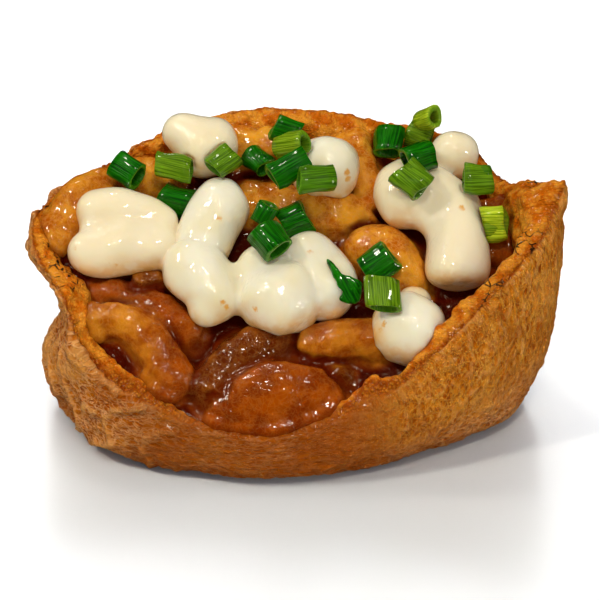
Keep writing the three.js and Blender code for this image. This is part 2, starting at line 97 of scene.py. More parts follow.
# %% Hang the panels and light the world
# Each panel has its place and size in metres, and its power in watts.
PANELS = {
    "top_panel": ((-0.05, 0.06, 0.55), (0.50, 0.40), 0.29),
    "fill_panel": ((0.05, -0.62, 0.22), (0.60, 0.40), 0.93),
    "left_key": ((-0.33, -0.12, 0.43), (0.062, 0.062), 0.95),
    "front_key": ((0.05, -0.27, 0.50), (0.085, 0.04), 0.75),
    "right_key": ((0.40, -0.24, 0.16), (0.03, 0.08), 0.3),
    "back_key": ((-0.10, 0.22, 0.50), (0.065, 0.065), 0.4),
}
KEY_COLOUR = (1.0, 0.93, 0.79)
SOFT_COLOUR = (0.86, 0.91, 1.0)
for panel_name, (place, size, power) in PANELS.items():
    panel = light_panel(panel_name, place, size, power)
    is_key = panel_name.endswith("key")
    panel.visible_glossy = is_key
    panel.data.color = KEY_COLOUR if is_key else SOFT_COLOUR

WORLD_LIGHT = 0.395
world = bpy.data.worlds.new("white_tent")
world.use_nodes = True
tent = world.node_tree.nodes["Background"]
tent.inputs["Color"].default_value = (*SOFT_COLOUR, 1)
tent.inputs["Strength"].default_value = WORLD_LIGHT
world.cycles_visibility.glossy = False
bpy.context.scene.world = world
bpy.context.scene.view_settings.view_transform = "Standard"
print("panels:", ", ".join(PANELS))

# %% [markdown]
# ## Helpers for the bench
#
# Every piece starts as a copy of its solid. A solid comes as loose triangles, so its doubles are
# merged first. After that the work is the same as by hand: add a modifier, set it, apply it.

# %% Pick one piece, and shade it smooth
def pick_only(piece):
    bpy.ops.object.select_all(action="DESELECT")
    piece.select_set(True)
    bpy.context.view_layer.objects.active = piece


def shaded_smooth(piece):
    pick_only(piece)
    bpy.ops.object.shade_smooth()


# %% Copy a solid, merge it, and make its triangles quads
DOUBLES_GAP = 0.001 * MM
QUAD_ANGLE = math.radians(60)


def copy_of(node, name):
    piece = bpy.data.objects.new(name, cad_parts[node].data.copy())
    bpy.context.scene.collection.objects.link(piece)
    piece.data.materials.clear()
    pick_only(piece)
    bpy.ops.object.mode_set(mode="EDIT")
    bpy.ops.mesh.select_all(action="SELECT")
    bpy.ops.mesh.remove_doubles(threshold=DOUBLES_GAP)
    bpy.ops.mesh.tris_convert_to_quads(face_threshold=QUAD_ANGLE, shape_threshold=QUAD_ANGLE)
    bpy.ops.object.mode_set(mode="OBJECT")
    return piece


# %% Add a modifier, set it and apply it
def worked(piece, kind, **settings):
    pick_only(piece)
    step = piece.modifiers.new(kind.lower(), kind)
    for setting, value in settings.items():
        setattr(step, setting, value)
    bpy.ops.object.modifier_apply(modifier=step.name)


def rounded(piece, levels):
    worked(piece, "SUBSURF", levels=levels, render_levels=levels)


def swollen(piece, by):
    worked(piece, "DISPLACE", strength=by, mid_level=0)


def joined(pieces, name):
    pick_only(pieces[0])
    for piece in pieces:
        piece.select_set(True)
    bpy.ops.object.join()
    pieces[0].name = name
    return pieces[0]


def fused(piece, voxel):
    worked(piece, "REMESH", mode="VOXEL", voxel_size=voxel, use_smooth_shade=True)


# %% Raise or sink a surface by a drifting pattern
def relief(piece, pattern, size, depth, where=None, **settings):
    """The pattern's size and the depth from its lows to its highs are in metres."""
    texture = bpy.data.textures.new(pattern.lower(), pattern)
    texture.noise_scale = size
    for setting, value in settings.items():
        setattr(texture, setting, value)
    worked(
        piece,
        "DISPLACE",
        texture=texture,
        texture_coords="LOCAL",
        strength=depth,
        mid_level=0.5,
        vertex_group=where or "",
    )
    bpy.data.textures.remove(texture)


# %% Read a mesh's points and normals, and keep a value for each point
def points_of(piece):
    points = np.zeros(len(piece.data.vertices) * 3, np.float32)
    piece.data.vertices.foreach_get("co", points)
    return points.reshape(-1, 3)


def normals_of(piece):
    normals = np.zeros(len(piece.data.vertices) * 3, np.float32)
    piece.data.vertex_normals.foreach_get("vector", normals)
    return normals.reshape(-1, 3)


def smooth_step(low, high, values):
    t = np.clip((values - low) / (high - low), 0, 1)
    return t * t * (3 - 2 * t)


def keep_value(piece, name, values):
    made = piece.data.attributes.get(name) or piece.data.attributes.new(name, "FLOAT", "POINT")
    made.data.foreach_set("value", np.asarray(values, np.float32))


def keep_vector(piece, name, vectors):
    made = piece.data.attributes.new(name, "FLOAT_VECTOR", "POINT")
    made.data.foreach_set("vector", vectors.astype(np.float32).ravel())


GROUP_STEPS = 60


def keep_group(piece, name, values):
    """A vertex group for the modifiers, with its weights in steps that are fine enough."""
    group = piece.vertex_groups.get(name) or piece.vertex_groups.new(name=name)
    steps = np.round(np.asarray(values) * GROUP_STEPS).astype(int)
    for step in range(1, GROUP_STEPS + 1):
        members = np.nonzero(steps == step)[0].tolist()
        if members:
            group.add(members, step / GROUP_STEPS, "REPLACE")


def crest_of(piece, rounds):
    """How far each point stands over the average of its surroundings, in metres."""
    pairs = np.zeros(len(piece.data.edges) * 2, np.int32)
    piece.data.edges.foreach_get("vertices", pairs)
    first, second = pairs.reshape(-1, 2).T
    points = points_of(piece)
    neighbours = np.bincount(pairs, minlength=len(points))[:, None]
    level = points.astype(float)
    for _ in range(rounds):
        total = np.zeros_like(level)
        for k in range(3):
            total[:, k] += np.bincount(first, level[second, k], len(points))
            total[:, k] += np.bincount(second, level[first, k], len(points))
        level = 0.5 * level + 0.5 * total / neighbours
    return ((points - level) * normals_of(piece)).sum(1)


def tree_of(piece):
    piece.data.calc_loop_triangles()
    corners = [tuple(triangle.vertices) for triangle in piece.data.loop_triangles]
    return BVHTree.FromPolygons(points_of(piece).tolist(), corners)


def distance_to(tree, points, reach):
    found = np.full(len(points), reach, np.float32)
    for i, point in enumerate(points.tolist()):
        hit = tree.find_nearest(point, reach)
        if hit[3] is not None:
            found[i] = hit[3]
    return found


# %% [markdown]
# ## The pouch
#
# A sheet of tofu that was fried, split, simmered in sweet soy and opened by hand. Its outside is a
# crinkled skin with long creases, its torn rim is a crumbly sponge, and its inside is soaked.
# Subdividing a copy of the solid keeps the hand-opened form; patterned displacement then gives the
# skin its creases and the rim its crumbs, each only where a vertex group allows it. The tip of the
# ear, which subdividing blunts, is pulled out again, and the foot is pressed flat at the end.

# %% Round the pouch
pouch = copy_of("pouch", "tofu_pouch")
rounded(pouch, 3)
shaded_smooth(pouch)
print("pouch faces:", len(pouch.data.polygons))

# %% Find the skin, the torn rim and the soaked inside
MOUTH_HALF = np.array([38, 22]) * MM
FOOT_LOW = 8 * MM
FOOT_TOP = 12 * MM
EAR_TIP = np.array([38.2, -2.3, 36.3]) * MM
EAR_REACH = 5.5 * MM
LEFT_END = np.array([-14, -26]) * MM

pouch_points = points_of(pouch)
pouch_normals = normals_of(pouch)
outward = pouch_points[:, :2] / MOUTH_HALF**2
outward /= np.linalg.norm(outward, axis=1)[:, None] + 1e-9
facing_out = (pouch_normals[:, :2] * outward).sum(1)
facing_up = pouch_normals[:, 2]
above_foot = smooth_step(FOOT_LOW, FOOT_TOP, pouch_points[:, 2])

inside = smooth_step(0.1, -0.3, facing_out - 0.4 * facing_up) * above_foot
skin = smooth_step(-0.15, 0.25, facing_out - 0.75 * facing_up)
rim = np.clip(1 - skin - 0.7 * inside, 0, 1) * above_foot
skin = np.maximum(skin, 1 - above_foot)
for name, values in (("skin", skin), ("rim", rim), ("inside", inside)):
    keep_value(pouch, name, values)
    keep_group(pouch, name, values)
to_ear = np.linalg.norm(pouch_points - EAR_TIP, axis=1)
keep_group(pouch, "ear", smooth_step(EAR_REACH, 1.0 * MM, to_ear))
left_end = skin * smooth_step(*LEFT_END, pouch_points[:, 0])
keep_group(pouch, "left_end", left_end)
print("share of rim points:", round(float((rim > 0.5).mean()), 3))

# %% Lay out the wall: how far round, and how high between foot and rim
def round_the_wall(points):
    return np.arctan2(points[:, 1] / MOUTH_HALF[1], points[:, 0] / MOUTH_HALF[0])


BINS = 90
FEWEST_ROWS = 8
ROWS_PER_MM = 0.5
RIGHT_SIDE = np.array([2, 16]) * MM

way_round = round_the_wall(pouch_points)
bin_of = np.floor((way_round / (2 * math.pi) + 0.5) * BINS).astype(int) % BINS
rim_height = np.array([pouch_points[bin_of == k, 2].max() for k in range(BINS)])
rim_height = sum(np.roll(rim_height, shift) for shift in (-1, 0, 1)) / 3
bin_centres = (np.arange(-1, BINS + 1) + 0.5) / BINS * 2 * math.pi - math.pi


def rim_above(points):
    """The rim's height at each point's place round the wall, in metres."""
    return np.interp(round_the_wall(points), bin_centres, np.r_[rim_height[-1], rim_height, rim_height[0]])


rim_here = rim_above(pouch_points)
height_share = pouch_points[:, 2] / rim_here
rows_up = height_share * (FEWEST_ROWS + ROWS_PER_MM * rim_here / MM)
wall_place = np.stack([np.cos(way_round), np.sin(way_round), rows_up], axis=1)
keep_vector(pouch, "wall_place", wall_place)
upright = smooth_step(*RIGHT_SIDE, pouch_points[:, 0]) * smooth_step(0.15, 0.5, height_share)
keep_value(pouch, "upright", upright)
print("rim heights in mm:", (rim_height[[rim_height.argmin(), rim_height.argmax()]] / MM).round(1))


# %% A fibrous pattern that runs along the wall or up it
FIBRE_WIDTH = 0.4


def fibres_on_wall(round_scale, height_scale, seed):
    """Ridges along the zeros of a drifting noise, from 0 beside them to 1 on their crests."""
    places = (wall_place * (round_scale, round_scale, height_scale) + seed).tolist()
    drift = np.array([perlin.noise(place) for place in places])
    return (1 - np.clip(np.abs(drift) / FIBRE_WIDTH, 0, 1)) ** 2


fibres_along = 0.6 * fibres_on_wall(18, 0.75, 3.1) + 0.4 * fibres_on_wall(30, 1.4, 7.7)
fibres_up = 0.6 * fibres_on_wall(24, 0.32, 5.2) + 0.4 * fibres_on_wall(44, 0.6, 1.9)
fibres = fibres_along + (fibres_up - fibres_along) * upright
keep_group(pouch, "fibres", fibres * skin)
folds = fibres_on_wall(7, 0.2, 11.3)
keep_group(pouch, "folds", folds * left_end)

# %% Fold the skin, raise its fibres and crumble the rim
EAR_PULL = 1.1 * MM
FOLD_HEIGHT = 1.0 * MM
FIBRE_HEIGHT = 0.38 * MM
CREST_HEIGHT = 0.25 * MM

relief(pouch, "CLOUDS", 7 * MM, 0.9 * MM, where="skin", noise_depth=0)
for direction in ("X", "Z"):
    worked(pouch, "DISPLACE", strength=EAR_PULL, mid_level=0, vertex_group="ear", direction=direction)
worked(pouch, "DISPLACE", strength=FOLD_HEIGHT, mid_level=0, vertex_group="folds")
worked(pouch, "DISPLACE", strength=FIBRE_HEIGHT, mid_level=0, vertex_group="fibres")
worked(pouch, "SMOOTH", factor=0.5, iterations=2)
relief(pouch, "CLOUDS", 1.1 * MM, 0.4 * MM, where="skin", noise_depth=1)
relief(pouch, "CLOUDS", 2.6 * MM, 1.5 * MM, where="rim", noise_depth=1)
relief(pouch, "VORONOI", 1.0 * MM, -1.1 * MM, where="rim")
relief(pouch, "CLOUDS", 2.2 * MM, 1.5 * MM, where="inside", noise_depth=1)
keep_value(pouch, "crest", np.clip(crest_of(pouch, 12) / CREST_HEIGHT, -1, 1))

# %% Press the foot flat on the board
pick_only(pouch)
bpy.context.tool_settings.mesh_select_mode = (True, False, False)
bpy.ops.object.mode_set(mode="EDIT")
bpy.ops.mesh.select_all(action="DESELECT")
bpy.ops.object.mode_set(mode="OBJECT")
pressed = points_of(pouch)[:, 2] < 0
pouch.data.vertices.foreach_set("select", pressed)
bpy.ops.object.mode_set(mode="EDIT")
bpy.ops.transform.resize(value=(1, 1, 0), center_override=(0, 0, 0))
bpy.ops.object.mode_set(mode="OBJECT")
print("points pressed flat:", int(pressed.sum()), "lowest now:", float(points_of(pouch)[:, 2].min()))

# %% Mark where the rim was burnt: x, y, z and reach in mm, from the front right round to the left
CHAR_SPOTS = [
    (28.5, -13.5, 24.0, 5.0), (32.5, -9.5, 30.0, 4.5), (35.5, 1.5, 34.0, 3.5), (33.0, 9.5, 31.5, 3.5),
    (27.0, 15.5, 31.5, 3.0), (-36.5, 5.5, 27.5, 3.0), (-35.0, -1.5, 27.0, 3.0), (-34.5, -5.0, 24.5, 3.5),
    (-33.0, -8.0, 23.5, 3.0),
]
charred = np.zeros(len(pouch_points))
for x, y, z, reach in CHAR_SPOTS:
    away = np.linalg.norm(pouch_points / MM - (x, y, z), axis=1)
    charred = np.maximum(charred, smooth_step(reach, 0.5 * reach, away))
keep_value(pouch, "charred", charred * (1 - 0.85 * skin))
pouch_tree = tree_of(pouch)
print("pouch box in mm:", [round(float(s) / MM, 1) for s in np.ptp(points_of(pouch), axis=0)])

# %% [markdown]
# ## The filling
#
# Strips and chunks of chicken lie in a thick soy glaze that has run into every gap, so that no
# piece ends with a clean edge. Each chunk's copy is rounded and swollen by a hair, then chunks and
# bed are fused by a voxel remesh and drawn back: the swelling closes the cracks between them, and
# what stays in the corners is the glaze. The glaze also creeps up to the wall, and where that
# would bring it through the skin it is tucked in again.

# %% Round the chunks and spread the bed to the wall
CHUNKS = [f"chicken_{number:02d}" for number in range(1, 15)]
BED_STRETCH = (1.02, 1.03, 1.0)
chunks = [copy_of(node, node + "_glazed") for node in CHUNKS]
for chunk in chunks:
    rounded(chunk, 2)
chunk_trees = {node: tree_of(chunk) for chunk, node in zip(chunks, CHUNKS)}
bed = copy_of("filling_bed", "glaze_bed")
rounded(bed, 2)
pick_only(bed)
bpy.ops.object.mode_set(mode="EDIT")
bpy.ops.mesh.select_all(action="SELECT")
bpy.ops.transform.resize(value=BED_STRETCH, center_override=(0, 0, 0))
bpy.ops.object.mode_set(mode="OBJECT")

# %% Fuse chunks and glaze
GLAZE_SWELL = 0.65 * MM
GLAZE_DRAW_BACK = 0.3 * MM
BED_RISE = 0.9 * MM
FILLING_VOXEL = 0.36 * MM
swollen(bed, BED_RISE)
filling = joined([bed] + chunks, "glazed_chicken_filling")
swollen(filling, GLAZE_SWELL)
fused(filling, FILLING_VOXEL)
worked(filling, "SMOOTH", factor=0.5, iterations=4)
swollen(filling, -GLAZE_DRAW_BACK)
worked(filling, "SMOOTH", factor=0.5, iterations=3)
relief(filling, "CLOUDS", 4.5 * MM, 1.1 * MM, noise_depth=1)
relief(filling, "CLOUDS", 1.5 * MM, 0.42 * MM, noise_depth=1)
print("filling faces:", len(filling.data.polygons))

# %% Sink the seams between chunks
SEAM_DEPTH = 0.8 * MM
SEAM_DRIFT = 7 * MM
WALL_SWELL = 0.95 * MM
FILLING_CREST_HEIGHT = 0.5 * MM
filling_points = points_of(filling)
to_chunks = np.stack([distance_to(tree, filling_points, 3 * MM) for tree in chunk_trees.values()])
nearest_two = np.sort(to_chunks, axis=0)[:2]
seam = smooth_step(1.2 * MM, 0.1 * MM, nearest_two[1] - nearest_two[0])
seam *= smooth_step(2.9 * MM, 2.0 * MM, nearest_two[1])
seam_drift = np.array([perlin.noise(place) for place in (filling_points / SEAM_DRIFT).tolist()])
seam *= smooth_step(-0.4, 0.1, seam_drift)
keep_group(filling, "seam", seam)
worked(filling, "DISPLACE", strength=-SEAM_DEPTH, mid_level=0, vertex_group="seam")
near_wall = smooth_step(1.8 * MM, 0.4 * MM, distance_to(pouch_tree, points_of(filling), 2 * MM))
keep_group(filling, "near_wall", near_wall)
worked(filling, "DISPLACE", strength=WALL_SWELL, mid_level=0, vertex_group="near_wall")

# %% Draw the filling back wherever it would come through the skin
WALL_COVER = 0.7 * MM
LONGEST_TUCK = 4 * MM
UNDER_RIM = 4 * MM
OVER_FLOOR = 4 * MM
FACING_OUT = 0.4
TUCK_ROUNDS = 4
TUCK_SHARE = 1.4


def past_cover(points):
    """How far each point lies past a line that runs WALL_COVER deep under the outer skin."""
    past = np.zeros(len(points))
    for i, point in enumerate(points.tolist()):
        spot, facing, _, _ = pouch_tree.find_nearest(point, LONGEST_TUCK)
        if spot is None:
            continue
        out = Vector((*(np.array(point[:2]) / MOUTH_HALF**2), 0)).normalized()
        if facing.dot(out) > FACING_OUT:
            past[i] = max(0, (Vector(point) - spot).dot(facing) + WALL_COVER)
    return past


# A point that is back under the cover keeps its last weight, so every later round takes it in
# further. That leaves a pit of a few millimetres behind the wall, where nothing shows it.
for _ in range(TUCK_ROUNDS):
    points = points_of(filling)
    hidden = (points[:, 2] < rim_above(points) - UNDER_RIM) & (points[:, 2] > OVER_FLOOR)
    past = np.zeros(len(points))
    past[hidden] = past_cover(points[hidden])
    deepest = round(float(past.max()) / MM, 2)
    print("points past the cover:", int((past > 0).sum()), "deepest in mm:", deepest)
    keep_group(filling, "tucked", np.clip(TUCK_SHARE * past / LONGEST_TUCK, 0, 1))
    worked(filling, "DISPLACE", strength=-LONGEST_TUCK, mid_level=0, vertex_group="tucked")
worked(filling, "SMOOTH", factor=0.5, iterations=2)
filling_crest = np.clip(crest_of(filling, 40) / FILLING_CREST_HEIGHT, -1, 1)
# The stored crest is pushed down along the wall, so the filling's join with the wall gets painted shade.
keep_value(filling, "crest", filling_crest * (1 - near_wall) - 0.6 * near_wall)

# %% Measure how deep the glaze lies, and which chunks are thinly coated or dark
THINLY_COATED = {
    "chicken_01": 0.55, "chicken_06": 0.4, "chicken_08": 1.0, "chicken_09": 1.0,
    "chicken_10": 1.0, "chicken_11": 1.0, "chicken_12": 0.7, "chicken_13": 1.0,
}
DARK_CHUNKS = ("chicken_02", "chicken_05", "chicken_07")
LEFT_STRIP_TOP = np.array([-17, -25]) * MM
glaze_depth = smooth_step(0.5 * MM, 2.2 * MM, nearest_two[0])
keep_value(filling, "glaze_depth", np.maximum(glaze_depth, 0.85 * seam))
over = {node: smooth_step(1.6 * MM, 0.6 * MM, to_chunks[CHUNKS.index(node)]) for node in CHUNKS}
over["chicken_01"] *= smooth_step(*LEFT_STRIP_TOP, filling_points[:, 0])
thin = [amount * over[node] for node, amount in THINLY_COATED.items()]
keep_value(filling, "thin_glaze", np.max(thin, axis=0))
keep_value(filling, "dark_chunk", np.max([over[node] for node in DARK_CHUNKS], axis=0))
filling_tree = tree_of(filling)
print("share of seam points:", round(float((seam > 0.5).mean()), 3))

# %% [markdown]
# ## The scallion
#
# Rings cut across hollow leaves, a few of them squashed, and one torn scrap. Each ring's cut edges
# are creased before subdividing, so that the cut stays crisp while the leaf stays round. The cut
# follows the leaf's own axis, which the ring's normals give: they are at right angles to it. Each
# point also keeps its place on the leaf, round it and along it, for the ribs in the material.

# %% Find a ring's axis and its own coordinates
RINGS = [f"scallion_{number:02d}" for number in range(1, 22)]
CUT_CREASE = 0.85
NOT_ALONG_ANY_RING = (0.31, 0.22, 0.93)


def leaf_axes(piece):
    piece.data.calc_loop_triangles()
    areas = np.array([t.area for t in piece.data.loop_triangles])
    normals = np.array([t.normal[:] for t in piece.data.loop_triangles])
    spread = (normals * areas[:, None]).T @ normals
    return np.linalg.eigh(spread)[1]


def ring_of(node):
    ring = copy_of(node, node + "_cut")
    points = points_of(ring)
    centre = points.mean(0)
    axis = leaf_axes(ring)[:, 0]
    along = (points - centre) @ axis
    half = np.abs(along).max()
    at_cut = np.abs(along) > 0.8 * half
    for edge in ring.data.edges:
        a, b = edge.vertices
        edge.select = bool(at_cut[a] and at_cut[b] and along[a] * along[b] > 0)
    pick_only(ring)
    bpy.context.tool_settings.mesh_select_mode = (False, True, False)
    bpy.ops.object.mode_set(mode="EDIT")
    bpy.ops.transform.edge_crease(value=CUT_CREASE)
    bpy.ops.object.mode_set(mode="OBJECT")
    rounded(ring, 2)
    points = points_of(ring) - centre
    side = np.cross(axis, NOT_ALONG_ANY_RING)
    side /= np.linalg.norm(side)
    third = np.cross(axis, side)
    along = points @ axis
    across = np.stack([points @ side, points @ third], 1)
    radius = np.linalg.norm(across, axis=1)
    normals = normals_of(ring)
    outward = (np.stack([normals @ side, normals @ third], 1) * across).sum(1) / (radius + 1e-9)
    place = np.stack([across[:, 0] / radius, across[:, 1] / radius, along / half], 1)
    keep_vector(ring, "leaf_place", place)
    keep_value(ring, "hollow", smooth_step(0.2, -0.2, outward))
    keep_value(ring, "cut_end", smooth_step(0.75, 0.95, np.abs(normals @ axis)))
    return ring


# %% Cut the rings
PALE_RINGS = {
    "scallion_02": 0.3, "scallion_04": 0.25, "scallion_07": 0.45, "scallion_09": 0.15, "scallion_14": 0.3,
    "scallion_16": 0.35, "scallion_17": 0.8, "scallion_19": 0.25, "scallion_20": 0.25, "scallion_21": 1.0,
}
rings = []
for order, ring_name in enumerate(RINGS):
    ring = ring_of(ring_name)
    count = len(ring.data.vertices)
    keep_value(ring, "pale", np.full(count, PALE_RINGS.get(ring_name, 0.0)))
    keep_value(ring, "cutting", np.full(count, float(order)))
    rings.append(ring)
scallion = joined(rings, "scallion_rings")
relief(scallion, "CLOUDS", 3.0 * MM, 0.9 * MM, noise_depth=0)
shaded_smooth(scallion)
ring_tree = tree_of(scallion)
print("scallion faces:", len(scallion.data.polygons))

# %% The torn scrap
LEAF_HALF = 3 * MM
torn_leaf = copy_of("scallion_22", "torn_scallion_leaf")
rounded(torn_leaf, 2)
relief(torn_leaf, "CLOUDS", 1.8 * MM, 0.9 * MM, noise_depth=1)
torn_points = points_of(torn_leaf)
torn_place = (torn_points - torn_points.mean(0)) @ leaf_axes(torn_leaf)[:, ::-1] / LEAF_HALF
keep_vector(torn_leaf, "leaf_place", torn_place)
shaded_smooth(torn_leaf)
print("torn scrap faces:", len(torn_leaf.data.polygons))

# %% [markdown]
# ## The mayonnaise
#
# Squeezed knobs and strands that sank into each other where they touch. Strands of one helping
# are webbed first: swollen, fused and drawn back, which fills the notch between them. The helping
# on the right ends in a flat face, as where a nozzle was wiped off: a bisect cuts it, and a remesh
# with a little smoothing rounds its edge. Then all are swollen until they meet and fused at a fine
# voxel, so that the joints stay as soft creases, and a slow swell leaves no knob a perfect ball.
# Last, the rings that lie on them press shallow dents.

# %% Round the knobs, and web the strands of each helping
# Each web has its nodes, how far they swell to meet, and how many rounds of smoothing follow.
KNOBS = [f"mayo_{number:02d}" for number in range(1, 11)]
WEBS = [
    (("mayo_07",), 1.6 * MM, 10),
    (("mayo_04",), 1.6 * MM, 10),
    (("mayo_01", "mayo_02"), 0.9 * MM, 3),
    (("mayo_09",), 1.2 * MM, 14),
]
WEB_VOXEL = 0.4 * MM
knobs = {node: copy_of(node, node + "_soft") for node in KNOBS}
for knob in knobs.values():
    rounded(knob, 2)
for nodes, gap, rounds in WEBS:
    webbed = joined([knobs.pop(node) for node in nodes], nodes[0] + "_webbed")
    swollen(webbed, gap)
    fused(webbed, WEB_VOXEL)
    worked(webbed, "SMOOTH", factor=0.5, iterations=4)
    swollen(webbed, -gap)
    worked(webbed, "SMOOTH", factor=0.5, iterations=rounds)
    knobs[nodes[0]] = webbed
print("helpings:", len(knobs))

# %% Cut the end of the helping on the right
CUT_PLACE = (23.3 * MM, -4.6 * MM, 19.9 * MM)
CUT_FACING = (0.0, -0.78, -0.62)
CUT_VOXEL = 0.3 * MM
cut_knob = knobs["mayo_04"]
pick_only(cut_knob)
bpy.ops.object.mode_set(mode="EDIT")
bpy.ops.mesh.select_all(action="SELECT")
bpy.ops.mesh.bisect(plane_co=CUT_PLACE, plane_no=CUT_FACING, use_fill=True, clear_outer=True)
bpy.ops.object.mode_set(mode="OBJECT")
fused(cut_knob, CUT_VOXEL)
worked(cut_knob, "SMOOTH", factor=0.5, iterations=8)
print("cut helping faces:", len(cut_knob.data.polygons))

# %% Swell and fuse the knobs, and dent them under the rings
YELLOW_KNOBS = ("mayo_04", "mayo_07", "mayo_09", "mayo_10")
KNOB_SWELL = 0.55 * MM
KNOB_VOXEL = 0.27 * MM
RING_DENT = 0.5 * MM
for knob in knobs.values():
    swollen(knob, KNOB_SWELL)
yellow_trees = [tree_of(knobs[node]) for node in YELLOW_KNOBS]
mayonnaise = joined(list(knobs.values()), "mayonnaise_knobs")
fused(mayonnaise, KNOB_VOXEL)
worked(mayonnaise, "SMOOTH", factor=0.5, iterations=6)
relief(mayonnaise, "CLOUDS", 5 * MM, 0.9 * MM, noise_depth=0)
to_rings = distance_to(ring_tree, points_of(mayonnaise), 2 * MM)
keep_group(mayonnaise, "under_ring", smooth_step(0.35 * MM, 0.05 * MM, to_rings))
worked(mayonnaise, "DISPLACE", strength=-RING_DENT, mid_level=0, vertex_group="under_ring")
worked(mayonnaise, "SMOOTH", factor=0.5, iterations=3)
print("mayonnaise faces:", len(mayonnaise.data.polygons))

# %% Mark where the mayonnaise takes up glaze, where its undersides near the filling get painted shade, and where it is yellower
mayonnaise_points = points_of(mayonnaise)
knob_facing_up = normals_of(mayonnaise)[:, 2]
to_filling = distance_to(filling_tree, mayonnaise_points, 9 * MM)
glaze_soak_and_shade = smooth_step(4.2 * MM, 0.2 * MM, to_filling) ** 1.3
# Painted shade and painted warm reflection: undersides facing down near the filling get the glaze's amber.
painted_underside_shade = smooth_step(0.5, -0.45, knob_facing_up) * smooth_step(9 * MM, 5 * MM, to_filling)
glaze_soak_and_shade = np.maximum(glaze_soak_and_shade, 0.8 * painted_underside_shade)
keep_value(mayonnaise, "glaze_soak_and_shade", glaze_soak_and_shade)
near_yellow = np.min([distance_to(tree, mayonnaise_points, 2 * MM) for tree in yellow_trees], axis=0)
keep_value(mayonnaise, "yellow", smooth_step(1.5 * MM, 0.2 * MM, near_yellow))

# %% [markdown]
# ## Shader helpers
#
# Materials are node trees. One small function adds a node and joins its inputs, so that each
# material below reads as a list of steps. Colours are given as a paint program shows them, 0 to
# 255, and turned into the linear values that the renderer needs.

# %% Add and join shader nodes
def paint(red, green, blue):
    def linear(value):
        value /= 255
        return value / 12.92 if value <= 0.04045 else ((value + 0.055) / 1.055) ** 2.4

    return (linear(red), linear(green), linear(blue), 1)


def fill_sockets(tree, sockets, values):
    """Give each socket its value, or a link where the value is another node's output."""
    for name, value in values.items():
        if isinstance(value, bpy.types.NodeSocket):
            tree.links.new(value, sockets[name])
        else:
            sockets[name].default_value = value


def node(tree, kind, inputs=None, **settings):
    made = tree.nodes.new("ShaderNode" + kind)
    for setting, value in settings.items():
        setattr(made, setting, value)
    fill_sockets(tree, made.inputs, inputs or {})
    return made


def mixed(tree, amount, low, high):
    return node(tree, "Mix", {0: amount, 6: low, 7: high}, data_type="RGBA").outputs[2]


def sums(tree, how, first, second=0.0):
    return node(tree, "Math", {0: first, 1: second}, operation=how).outputs[0]


def ramp(tree, value, low, high, floor=0.0, top=1.0):
    limits = {"Value": value, "From Min": low, "From Max": high, "To Min": floor, "To Max": top}
    return node(tree, "MapRange", limits, interpolation_type="SMOOTHSTEP").outputs["Result"]


def scaled(tree, place, scale):
    return node(tree, "Mapping", {"Vector": place, "Scale": scale}).outputs["Vector"]


def in_mm(tree, stretch=(1, 1, 1)):
    """Object coordinates in millimetres, stretched."""
    place = node(tree, "TexCoord").outputs["Object"]
    return scaled(tree, place, [side / MM for side in stretch])


def stored(tree, name, output="Fac"):
    return node(tree, "Attribute", attribute_name=name).outputs[output]


def noise(tree, place, scale, detail=2.0, roughness=0.5):
    inputs = {"Vector": place, "Scale": scale, "Detail": detail, "Roughness": roughness}
    return node(tree, "TexNoise", inputs).outputs[0]


def cells(tree, place, scale, feature="F1"):
    return node(tree, "TexVoronoi", {"Vector": place, "Scale": scale}, feature=feature).outputs["Distance"]


def bumped(tree, height, distance):
    return node(tree, "Bump", {"Height": height, "Distance": distance}).outputs["Normal"]


def new_material(name):
    material = bpy.data.materials.new(name)
    material.use_nodes = True
    tree = material.node_tree
    return material, tree, tree.nodes["Principled BSDF"]


def set_shader(tree, shader, **inputs):
    """Socket names are written with _ for the space between their words."""
    fill_sockets(tree, shader.inputs, {name.replace("_", " "): value for name, value in inputs.items()})


# %% [markdown]
# ## Effects that several finishes share
#
# Crinkled skin, sponge and cooked meat all have a web of fine ridges with hollows between them,
# and everything wet carries tiny broken glints. Each effect is a node group with its own inputs.
# Glints need gentle slopes: steep or very fine ripples scatter the light into a grey veil. So the
# ripple has a slow swell, which also bends the surface below, and a fine part with few steps.

# %% A group's tree with its sockets
def new_group(name, inputs, outputs):
    tree = bpy.data.node_groups.new(name, "ShaderNodeTree")
    for socket, kind, value in inputs:
        made = tree.interface.new_socket(name=socket, socket_type="NodeSocket" + kind, in_out="INPUT")
        if value is not None:
            made.default_value = value
    for socket, kind in outputs:
        tree.interface.new_socket(name=socket, socket_type="NodeSocket" + kind, in_out="OUTPUT")
    return tree, tree.nodes.new("NodeGroupInput").outputs, tree.nodes.new("NodeGroupOutput").inputs


def use_group(tree, group, **inputs):
    return node(tree, "Group", inputs, node_tree=group).outputs


# %% A web of fibres with pits between them
web, given, result = new_group(
    "fibre_web",
    [("Place", "Vector", None), ("Scale", "Float", 1.0), ("Wander", "Float", 0.5)],
    [("Ridges", "Float"), ("Pits", "Float")],
)
wander = node(web, "TexNoise", {"Vector": given["Place"], "Scale": 0.5, "Detail": 2.0}).outputs["Color"]
wander = node(web, "VectorMath", {0: wander, 1: (0.5, 0.5, 0.5)}, operation="SUBTRACT").outputs[0]
wander = node(web, "VectorMath", {0: wander, "Scale": given["Wander"]}, operation="SCALE").outputs[0]
wandered = node(web, "VectorMath", {0: given["Place"], 1: wander}).outputs[0]
threads = noise(web, wandered, sums(web, "MULTIPLY", given["Scale"], 0.7), 3.0, 0.55)
threads = sums(web, "ABSOLUTE", sums(web, "SUBTRACT", threads, 0.5))
cell_edge = cells(web, wandered, given["Scale"], "DISTANCE_TO_EDGE")
cell_ridge = sums(web, "MULTIPLY", ramp(web, cell_edge, 0.0, 0.12, 1.0, 0.0), 0.65)
